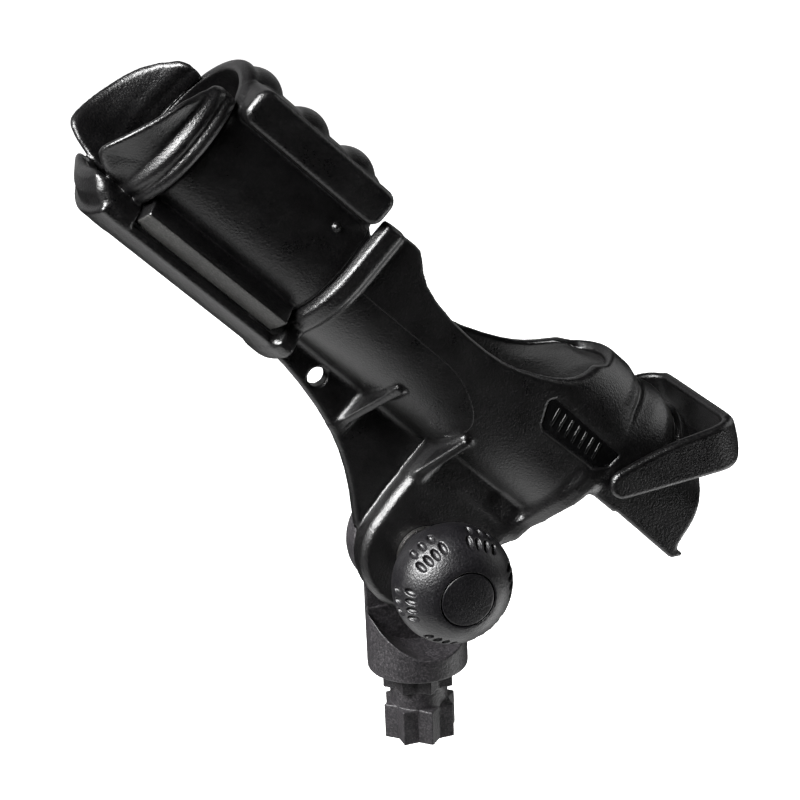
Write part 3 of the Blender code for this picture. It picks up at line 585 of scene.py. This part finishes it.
        fl = [(3.0, 22.6), (9.6, 23.0), (20.0, 38.0), (27.4, 49.0), (31.1, 56.6), (31.2, 62.0), (5.0, 50.0)]
        g.add(lambda S, Y, W: rint(poly(Y * sg, W, fl), band(S, 21.9, 27.4), 0.8), 5.0,
              (8, lo, 10), (42, hi, 72))
    # buttress from the lug's rear edge to the end flange
    g.add(lambda S, Y, W: rint(poly(S, W, [(8.0, 30.0), (20.5, 24.0), (26.8, 26.0), (26.8, 38.0),
                                           (8.0, 40.0)]), band(Y, -12.8, -2.0), 2.5), 4.0,
          (0, -26, 10), (40, 8, 50))

    # openings and clearances
    g.cut(lambda S, Y, W: rint(R2(Y, W) - IN_R, band(S, -176.5, 27.0)), 0.0,
          (-180, -32, 34), (32, 32, 96))
    g.cut(lambda S, Y, W: rint(np.abs(Y) - IN_R, band(W, 40.0, 66.0)) + 0.0 * S, 0.3,
          (27.6, -33, 30), (84, 33, 70))

    def pocket(S, Y, W):
        R = R2(Y, W)
        return rint(rint(band(R, 15.0, 39.7), (low(Y, W) - math.radians(21.5)) * 36.0, 1.0),
                    band(S, -191.0, -176.0), 1.5)
    g.cut(pocket, 0.8, (-200, -24, 16), (-168, 24, 60))
    g.cut(lambda S, Y, W: rint(np.sqrt(S * S + W * W) - 25.5, -1.4 - Y), 0.0,
          (-30, -6, -28), (30, 41, 30))
    g.cut(lambda S, Y, W: rint(poly(S, W, [(0.0, 0.0), (38.0, 29.0), (60.0, 29.0), (60.0, -40.0),
                                           (-10.0, -40.0)]), -1.4 - Y), 0.0,
          (-14, -6, -28), (64, 41, 32))
    g.cut(lambda S, Y, W: np.sqrt(S * S + W * W) - 4.3 + 0.0 * Y, 0.3, (-8, -20, -8), (8, 6, 8))
    g.cut(lambda S, Y, W: rint(np.sqrt(S * S + W * W) - 8.3, -5.7 - Y), 0.0,
          (-12, -14, -12), (12, 6, 12))
    g.cut(lambda S, Y, W: rint(np.sqrt(S * S + W * W) - 20.3, -4.7 - Y), 0.0,
          (-26, -14, -26), (26, 6, 26))
    g.cut(lambda S, Y, W: np.sqrt((S + 77.9) ** 2 + (W - 27.1) ** 2) - 3.75 + 0.0 * Y, 1.0,
          (-88, -10, 17), (-68, 10, 37))
    g.cut(lambda S, Y, W: np.sqrt((S - BAIL_S) ** 2 + (W - BAIL_W) ** 2) - 2.9 + 0.0 * Y, 0.0,
          (30, -41, 62), (42, 41, 76))
    pad = rounded([(-11.2, 75.4), (-7.0, 66.8), (-4.0, 65.2), (23.4, 66.4), (27.8, 70.6),
                   (28.6, 77.4), (-9.0, 78.2)], 1.3)
    for sg in (-1, 1):
        lo, hi = (-41, -26) if sg < 0 else (26, 41)
        g.cut(lambda S, Y, W: rint(poly(S, W, pad), 30.2 - sg * Y), 0.35,
              (-20, lo, 58), (38, hi, 86))
    return g


cradle = piece("cradle_moulding", cradle_field(), from_cradle, M_BLACK, "cradle",
               ["cradle_body"])

# ------------------------------------------------------------------ lock ring
def ring_field():
    g = Field((-182.0, -42.0, 22.0), (-106.0, 42.0, 105.5), 0.7 * FINE)
    sl, S, Y, W = g.block(*g.everywhere())
    R = np.sqrt(Y * Y + (W - AW) ** 2)
    phi = np.degrees(np.arctan2(-Y, W - AW))              # from the top, + towards the knob
    body = rint(rint(np.abs(R - 29.65) - 1.35, (np.abs(phi) - 151.8) * 0.53, 0.4),
                band(S, -177.8, -110.2), 0.9)
    g.F[:] = body
    crown = (np.abs(phi + 2.0) - 50.0) * 0.56             # mm beyond the crown's sides
    g.F[:] = runi(g.F, rint(rint(band(R, 28.3, 33.1), crown, 2.2), band(S, -176.7, -110.2), 1.5),
                  1.5)
    # thick front lip of the arch
    lipb = np.sqrt((S + 174.6) ** 2 + (R - 31.6) ** 2) - 2.5
    g.F[:] = runi(g.F, rint(lipb, (np.abs(phi + 4.0) - 62.0) * 0.56, 2.2), 2.0)
    for s in (-166.6, -143.5, -120.4):
        rib = rint(np.maximum(np.abs(S - s) - 6.4, 0) * 0 +
                   (np.sqrt((S - s) ** 2 + (R - 29.4) ** 2) - 7.1), 30.0 - R)
        rib = rint(rib, (np.abs(phi + 2.0) - 47.5) * 0.56, 3.2)
        g.F[:] = runi(g.F, rib, 1.0)
    # thumb tab along the near side
    tab = rint(poly(S, W, rounded([(-176.9, 81.6), (-111.6, 81.6), (-111.6, 95.6),
                                   (-176.9, 95.6)], 4.8, 8)), band(Y, -35.1, -16.0), 2.6)
    g.F[:] = runi(g.F, rint(tab, 28.3 - R), 1.8)
    # flanges along both edges of the slot
    for sg in (-1, 1):
        edge = (sg * phi - 136.4) * 0.62
        fl = rint(rint(band(R, 29.4, 39.4), -edge, 0.5), (sg * phi - 151.8) * 0.6, 0.5)
        g.F[:] = runi(g.F, rint(fl, band(S, -177.4, -111.4), 0.6), 0.6)
    g.cut(lambda S, Y, W: np.sqrt(Y * Y + (W - AW) ** 2) - 28.3 + 0 * S)
    # moulding pip under the tab
    g.add(lambda S, Y, W: np.sqrt((S + 122.0) ** 2 + (Y + 29.9) ** 2 + (W - 74.0) ** 2) - 1.5, 0.3,
          (-130, -36, 66), (-114, -24, 82))
    return g


ring = piece("lock_ring", ring_field(), from_cradle, M_BLACK, "ring", ["locking_ring"])


def sheen_painted_faces(ob, mat, test):
    """Gives the faces where test(s, y, w, ns, ny, nw) is true the second material."""
    me = ob.data
    me.materials.append(mat)
    n = len(me.polygons)
    c = np.empty(n * 3, f32)
    q = np.empty(n * 3, f32)
    me.polygons.foreach_get("center", c)
    me.polygons.foreach_get("normal", q)
    c = c.reshape(-1, 3) * 1000.0 - HINGE
    q = q.reshape(-1, 3)
    hit = test(c @ T, c[:, 1], c @ N, q @ T, q[:, 1], q @ N)
    me.polygons.foreach_set("material_index", hit.astype(np.int32))
    me.update()


# Outer, downward-facing faces of the ring's slot flanges: these faces get the painted sheen.
def flange_underside_for_painted_sheen(s, y, w, ns, ny, nw):
    r = np.hypot(y, w - AW)
    side = np.degrees(np.arctan2(np.abs(y), AW - w))
    out = (ny * y + nw * (w - AW)) / np.maximum(r, 1.0)
    return (r > 38.6) & (side < 45.0) & (out > 0.8)


# Painted sheen: the lighter colour on these flange faces stands in for the reflection of the white floor below.
sheen_painted_faces(ring, M_MATT_PAINTED_SHEEN, flange_underside_for_painted_sheen)

# ------------------------------------------------------------------ tail bail
def bail_field():
    g = Field((27.0, -38.5, 60.5), (80.0, 38.5, 120.0), 0.6 * FINE)
    sl, S, Y, W = g.block(*g.everywhere())
    hub = [(BAIL_S + 6.0 * math.cos(t), BAIL_W + 6.0 * math.sin(t))
           for t in [math.radians(160 + 16 * i) for i in range(11)]]
    strap = hub + [(67.3, 98.6), (69.9, 102.4), (71.0, 106.6), (67.9, 111.6), (64.0, 115.7),
                   (60.8, 117.4), (58.0, 116.6), (55.0, 113.6), (51.6, 109.4), (47.6, 103.2),
                   (42.0, 95.2), (35.6, 83.0)]
    arm = math.radians(59.0)
    U = (S - BAIL_S) * math.cos(arm) + (W - BAIL_W) * math.sin(arm)
    outer = box2(U, Y, 0.0, 0.0, 53.6, 36.2, 14.5)
    inner = box2(U, Y, 0.0, 0.0, 48.6, 31.9, 9.5)
    loop = rint(np.where(U > 0, outer, np.abs(Y) - 36.2), -np.where(U > 0, inner, np.abs(Y) - 31.9))
    g.F[:] = rint(loop, poly(S, W, chaikin(strap, 2)), 2.0)
    # the strap's cross bar is a deeper band than its arms
    V = -(S - BAIL_S) * math.sin(arm) + (W - BAIL_W) * math.cos(arm)
    sweep = 17.2 - 7.0 * smooth(np.abs(Y), 10.0, 30.0)
    u0 = 48.7 - 2.3 * smooth(-V, 8.0, 17.0)
    bar = rint(rint(band(U - u0, 0.0, 2.6), band(V + 0.0 * Y, -17.2, 6.0), 1.2),
               np.abs(Y) - 29.0, 1.5)
    bar = rint(bar, -V - sweep, 1.2)
    g.F[:] = runi(g.F, bar, 1.5)
    g.cut(lambda S, Y, W: rint(np.sqrt((S - BAIL_S) ** 2 + (W - BAIL_W) ** 2) - 2.9,
                               np.abs(Y) - 35.0), 0.0)
    return g


bail = piece("tail_bail_moulding", bail_field(), from_cradle, M_BLACK, "bail", ["tail_bail"])

# ------------------------------------------------------------------ yoke
star = []
for i in range(16):
    rad = 15.0 if i % 2 == 0 else 15.0 * 0.7654
    star.append((rad * math.cos(math.radians(22.5 * i)), rad * math.sin(math.radians(22.5 * i))))


def spigot_field():
    g = Field((-16.5, -16.5, -1.5), (16.5, 16.5, 33.0), 0.36 * FINE)
    soft = rounded(star, 0.3, 3)
    g.add(lambda x, y, z: rint(poly(x, y, soft), band(z, 0.0, 14.5), 0.35))
    g.add(lambda x, y, z: rint(np.sqrt(x * x + y * y) - 11.5, band(z, 10.0, 32.0)), 0.25)
    g.add(lambda x, y, z: rint(poly(x, y, soft), band(z, 22.2, 31.2), 0.35), 0.25)
    return g


def yoke_field():
    g = Field((-26.5, -22.5, 28.5), (26.5, 22.5, 108.5), 0.55 * FINE)
    barrel = lambda x, y, z: rint(np.sqrt(x * x + y * y) - 20.0, band(z, 30.2, 68.3), 0.9)
    g.add(barrel, 0.0, (-26, -22.5, 24), (26, 22.5, 76))

    def ear(x, y, z):
        r = np.sqrt(x * x + (z - HZ) ** 2) - 23.8
        return rint(r, band(y, 1.4, 13.5), 2.8)
    g.add(ear, 1.5, (-26.5, -8, 52), (26.5, 20, 108.5))
    g.cut(lambda x, y, z: rint(band(z, 57.1, 140.0), y - 1.4) + 0 * x, 0.4,
          (-26.5, -22.5, 48), (26.5, 8, 108.5))
    g.cut(lambda x, y, z: rint(np.sqrt((x - 2.0) ** 2 + (z - 62.3) ** 2) - 22.8, y - 1.1), 0.6,
          (-26.5, -22.5, 32), (26.5, 8, 92))
    far = [(13.5, HZ + 1), (13.5, 58.0), (21.5, 44.0), (34.0, 44.0), (34.0, HZ + 1)]
    g.cut(lambda x, y, z: poly(y, z, far) + 0 * x, 1.0, (-26.5, 6, 36), (26.5, 22.5, 92))
    rr = lambda x, z: np.sqrt(x * x + (z - HZ) ** 2)
    g.cut(lambda x, y, z: rint(rr(x, z) - 4.3, band(y, -2.0, 20.0)), 0.2,
          (-8, -4, HZ - 8), (8, 18, HZ + 8))
    g.cut(lambda x, y, z: rint(rr(x, z) - 8.3, y - 5.4), 0.0, (-12, -4, HZ - 12), (12, 8, HZ + 12))
    g.cut(lambda x, y, z: rint(rr(x, z) - 20.3, y - 4.7), 0.0, (-25, -4, HZ - 25), (25, 8, HZ + 25))
    hexa = [(8.0 * math.cos(math.radians(60 * i)), HZ + 8.0 * math.sin(math.radians(60 * i)))
            for i in range(6)]
    g.cut(lambda x, y, z: rint(poly(x, z, hexa), 8.0 - y), 0.3, (-12, 4, HZ - 12), (12, 18, HZ + 12))
    return g


yoke = piece("yoke_moulding", yoke_field(), from_world, M_GREY, "yoke", ["mount_yoke"])
spigot = piece("yoke_spigot", spigot_field(), from_world, M_GREY, "yoke", ["mount_yoke"])

# ------------------------------------------------------------------ hand knob
KY = float(J["knob_turn"]["pos_m"][1]) * 1000.0


KC = 18.2                   # the front half of the knob is flatter than a ball


def knob_field():
    g = Field((-25.0, -61.5, HZ - 25.0), (25.0, -13.8, HZ + 25.0), 0.42 * FINE)
    sl, X, Y, Z = g.block(*g.everywhere())
    r = np.sqrt(X * X + (Z - HZ) ** 2)
    ball = np.sqrt(r * r + (Y - KY) ** 2) - 23.0
    q = np.sqrt((r / 23.0) ** 2 + ((Y - KY) / KC) ** 2)
    dome = (q - 1.0) * q / np.maximum(np.sqrt((r / 529.0) ** 2 + ((Y - KY) / KC ** 2) ** 2), 1e-3)
    ball = np.where(Y < KY, dome, ball)
    g.F[:] = rint(rint(ball, -60.1 - Y, 1.6), Y + 27.4, 1.5)
    g.F[:] = runi(g.F, rint(r - 11.0, band(Y, -40.0, -15.2), 0.6), 2.0)
    g.F[:] = rint(g.F, -rint(r - 10.75, Y + 57.3), 0.35)
    g.F[:] = rint(g.F, -(r - 6.4), 0.0)
    # six groups of oval dimples, a row of four with three behind
    c = np.stack(np.broadcast_arrays(X, Y - KY, Z - HZ), -1)
    for k in range(6):
        a0 = math.radians(4.0 + 60.0 * k)
        spots = [(-1.5, 27.5), (-0.5, 29.5), (0.5, 29.5), (1.5, 27.5), (-1.0, 7.5), (0.0, 8.5),
                 (1.0, 7.5)]
        for off, el in spots:
            pitch = 10.2 if el > 15 else 10.8
            a = a0 + math.radians(off * pitch)
            e = math.radians(el)
            p = np.array([22.6 * math.cos(e) * math.cos(a), -(KC - 0.3) * math.sin(e),
                          22.6 * math.cos(e) * math.sin(a)])
            n = p / np.array([529.0, KC ** 2, 529.0])
            n /= np.sqrt((n * n).sum())
            flat = math.hypot(n[0], n[2])
            along = np.array([-n[1] * math.cos(a), flat, -n[1] * math.sin(a)])
            across = np.cross(n, along)
            lo = p + np.array([0, KY, HZ]) - 4.5
            hi = lo + 9.0
            s2, x, y, z = g.block(lo, hi)
            dx, dy, dz = x - p[0], y - KY - p[1], z - HZ - p[2]
            u = dx * along[0] + dy * along[1] + dz * along[2]
            v = dx * across[0] + dy * across[1] + dz * across[2]
            w = dx * n[0] + dy * n[1] + dz * n[2]
            A, B, C = 2.75, 1.25, 1.25
            q = np.sqrt((u / A) ** 2 + (v / B) ** 2 + (w / C) ** 2)
            e3 = (q - 1.0) * q / np.maximum(np.sqrt((u / A ** 2) ** 2 + (v / B ** 2) ** 2
                                                    + (w / C ** 2) ** 2), 1e-3)
            g.F[s2] = rint(g.F[s2], -e3.astype(f32), 0.25)
    return g


knob = piece("knob_moulding", knob_field(), from_world, M_KNOB, "knob", ["knob_shell"])


def cap_field():
    g = Field((-12.0, -61.5, HZ - 12.0), (12.0, -55.5, HZ + 12.0), 0.3 * FINE)
    sl, X, Y, Z = g.block(*g.everywhere())
    r = np.sqrt(X * X + (Z - HZ) ** 2)
    g.F[:] = rint(r - 10.3, np.maximum(0.005 * r * r - 60.0 - Y, Y + 57.6), 0.55)
    return g


cap = piece("knob_front_cap", cap_field(), from_world, M_KNOB, "knob", ["knob_cap"])


# ------------------------------------------------------------------ small parts
def prism(name, pts, y0, y1, bevel, mat, body, stands, extra=()):
    """Plate across Y in cradle coordinates, with softened edges; extra adds raised bars."""
    bm = bmesh.new()
    for outline, a, b in [(pts, y0, y1), *extra]:
        lo = [bm.verts.new((x, a, z)) for x, z in outline]
        hi = [bm.verts.new((x, b, z)) for x, z in outline]
        n = len(outline)
        bm.faces.new(lo)
        bm.faces.new(hi[::-1])
        for i in range(n):
            bm.faces.new((lo[i], lo[(i + 1) % n], hi[(i + 1) % n], hi[i])[::-1])
    bmesh.ops.recalc_face_normals(bm, faces=bm.faces)
    es = [e for e in bm.edges if len(e.link_faces) == 2 and e.calc_face_angle(0) > 0.5]
    bmesh.ops.bevel(bm, geom=es, offset=bevel, segments=3, affect="EDGES", profile=0.5)
    co = np.array([v.co for v in bm.verts])
    w = from_cradle(co)
    for v, c in zip(bm.verts, w):
        v.co = Vector(c)
    me = bpy.data.meshes.new(name)
    bm.to_mesh(me)
    bm.free()
    me.shade_smooth()
    me.materials.append(mat)
    ob = bpy.data.objects.new(name, me)
    bpy.context.scene.collection.objects.link(ob)
    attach(ob, body)
    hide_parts(stands)
    return ob


pad = rounded([(-10.6, 74.9), (-6.7, 67.3), (-3.9, 65.8), (23.2, 67.0), (27.3, 70.9),
               (28.0, 76.8), (-8.6, 77.6)], 1.0, 3)
bars = []
for i in range(7):
    s0 = -4.2 + 3.9 * i
    bars.append([(s0, 68.6 + 0.05 * i), (s0 + 1.1, 68.6 + 0.05 * i), (s0 - 0.4, 75.6),
                 (s0 - 1.5, 75.6)])
for side, sg in (("near", -1), ("far", 1)):
    a, b = sg * 30.0, sg * 30.65
    c, d = sg * 30.6, sg * 31.0
    prism("side_plate_" + side, pad, a, b, 0.18, M_GLOSS, "cradle", "badge_plate_" + side,
          [(x, c, d) for x in bars])

# fine parting line of the mould along both flanks
for side, sg in (("near", -1), ("far", 1)):
    path = [(-99.5, 61.9), (-90.0, 61.9), (-80.0, 61.9), (-66.0, 61.8), (-52.6, 61.6),
            (-45.5, 60.4), (-38.7, 57.8), (-33.0, 54.8), (-29.0, 51.4), (-27.2, 48.4),
            (-26.8, 45.6), (-27.6, 42.6), (-29.4, 39.8)]
    pts = []
    for i in range(len(path) - 1):
        for k in range(6):
            t = k / 6
            p0 = path[max(i - 1, 0)]
            p1, p2 = path[i], path[i + 1]
            p3 = path[min(i + 2, len(path) - 1)]
            s, w = (0.5 * (2 * p1[c] + (p2[c] - p0[c]) * t
                           + (2 * p0[c] - 5 * p1[c] + 4 * p2[c] - p3[c]) * t * t
                           + (3 * p1[c] - p0[c] - 3 * p2[c] + p3[c]) * t ** 3) for c in (0, 1))
            pts.append((s, w))
    cu = bpy.data.curves.new("parting_" + side, "CURVE")
    cu.dimensions = "3D"
    cu.bevel_depth = 0.00020
    cu.bevel_resolution = 2
    cu.use_fill_caps = True
    sp = cu.splines.new("POLY")
    sp.points.add(len(pts) - 1)
    arr = np.array([(s, sg * math.sqrt(max(OUT_R ** 2 - (w - AW) ** 2, 0.0)) , w)
                    for s, w in pts])
    arr = from_cradle(arr)
    for i, c in enumerate(arr):
        sp.points[i].co = (*c, 1.0)
    tmp = bpy.data.objects.new("tmp_parting", cu)
    bpy.context.scene.collection.objects.link(tmp)
    bpy.context.view_layer.update()
    me = bpy.data.meshes.new_from_object(tmp.evaluated_get(bpy.context.evaluated_depsgraph_get()))
    bpy.data.objects.remove(tmp, do_unlink=True)
    me.name = "parting_line_" + side
    me.shade_smooth()
    me.materials.clear()
    me.materials.append(M_BLACK)
    ob = bpy.data.objects.new("parting_line_" + side, me)
    bpy.context.scene.collection.objects.link(ob)
    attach(ob, "cradle")

# ------------------------------------------------------------------ stage, light, camera
def floor_material():
    m, nt, b = nodes_of("pale_floor")
    L = nt.links.new
    tc = nt.nodes.new("ShaderNodeTexCoord")
    n = nt.nodes.new("ShaderNodeTexNoise")
    n.inputs["Scale"].default_value = 3.0
    L(tc.outputs["Object"], n.inputs["Vector"])
    r = nt.nodes.new("ShaderNodeValToRGB")
    r.color_ramp.elements[0].color = (0.90, 0.90, 0.90, 1)
    r.color_ramp.elements[1].color = (0.93, 0.93, 0.93, 1)
    L(n.outputs["Fac"], r.inputs["Fac"])
    L(r.outputs["Color"], b.inputs["Base Color"])
    b.inputs["Roughness"].default_value = 0.9
    b.inputs["Specular IOR Level"].default_value = 0.1
    L(r.outputs["Color"], b.inputs["Emission Color"])
    b.inputs["Emission Strength"].default_value = 1.1
    return m


# a pale floor that sweeps up all round into a backdrop
prof = [(0.0, 0.0), (0.6, 0.0), (1.2, 0.0), (2.2, 0.0), (2.6, 0.03), (3.0, 0.16), (3.3, 0.42),
        (3.45, 0.8), (3.5, 1.4), (3.4, 2.2), (3.0, 3.0), (2.2, 3.6), (1.2, 3.9), (0.0, 4.0)]
bm = bmesh.new()
vs = [bm.verts.new((r, 0.0, z - 0.16)) for r, z in prof]
es = [bm.edges.new((vs[i], vs[i + 1])) for i in range(len(vs) - 1)]
bmesh.ops.spin(bm, geom=vs + es, cent=(0, 0, 0), axis=(0, 0, 1), dvec=(0, 0, 0),
               angle=2 * math.pi, steps=48, use_duplicate=False)
bmesh.ops.remove_doubles(bm, verts=bm.verts, dist=0.0005)
me = bpy.data.meshes.new("floor")
bm.to_mesh(me)
bm.free()
me.shade_smooth()
floor = bpy.data.objects.new("floor", me)
bpy.context.scene.collection.objects.link(floor)
me.materials.append(floor_material())
floor.visible_glossy = False
floor.visible_diffuse = False
floor.visible_shadow = False

world = bpy.data.worlds.new("studio")
bpy.context.scene.world = world
world.use_nodes = True
bg = world.node_tree.nodes["Background"]
bg.inputs["Color"].default_value = (1, 1, 1, 1)
bg.inputs["Strength"].default_value = 0.004

CENTRE = Vector((0.0, 0.0, 0.13))


def area(name, az, el, dist, w, h, power, colour=(1, 1, 1), aim=CENTRE):
    """Softbox; az as in the views: 0 stands on the -Y side, positive towards +X."""
    a, e = math.radians(az), math.radians(el)
    d = Vector((math.sin(a) * math.cos(e), -math.cos(a) * math.cos(e), math.sin(e)))
    li = bpy.data.lights.new(name, "AREA")
    li.shape = "RECTANGLE"
    li.size, li.size_y = w, h
    li.energy = power
    li.color = colour
    ob = bpy.data.objects.new(name, li)
    ob.location = aim + d * dist
    ob.rotation_euler = (-d).to_track_quat("-Z", "Y").to_euler()
    bpy.context.scene.collection.objects.link(ob)
    return ob


area("key", -74, 41, 1.15, 0.74, 0.62, 63)
area("left_wall", -96, 4, 1.4, 0.7, 1.2, 3)
area("backdrop", 178, 10, 1.6, 2.0, 1.0, 3)
area("under", -112, -74, 1.1, 1.5, 1.5, 9)
area("under_right", 74, -44, 1.1, 0.8, 0.8, 6.5)
area("right", 96, 14, 1.3, 1.0, 0.7, 3)

cam_data = bpy.data.cameras.new("camera")
cam_data.lens = 101.89
cam_data.sensor_width = 36.0
cam = bpy.data.objects.new("camera", cam_data)
view = Vector((0.304165, 0.889539, -0.340886))
xax = Vector((0.94077, -0.33675, -0.03932))
yax = Vector((0.14977, 0.30874, 0.93928))
rot = Matrix((xax, yax, -view)).transposed().to_4x4()
cam.matrix_world = Matrix.Translation(Vector((-0.26464, -0.76561, 0.43469))) @ rot
bpy.context.scene.collection.objects.link(cam)
bpy.context.scene.camera = cam
bpy.context.scene.view_settings.view_transform = "Standard"

bpy.context.view_layer.update()
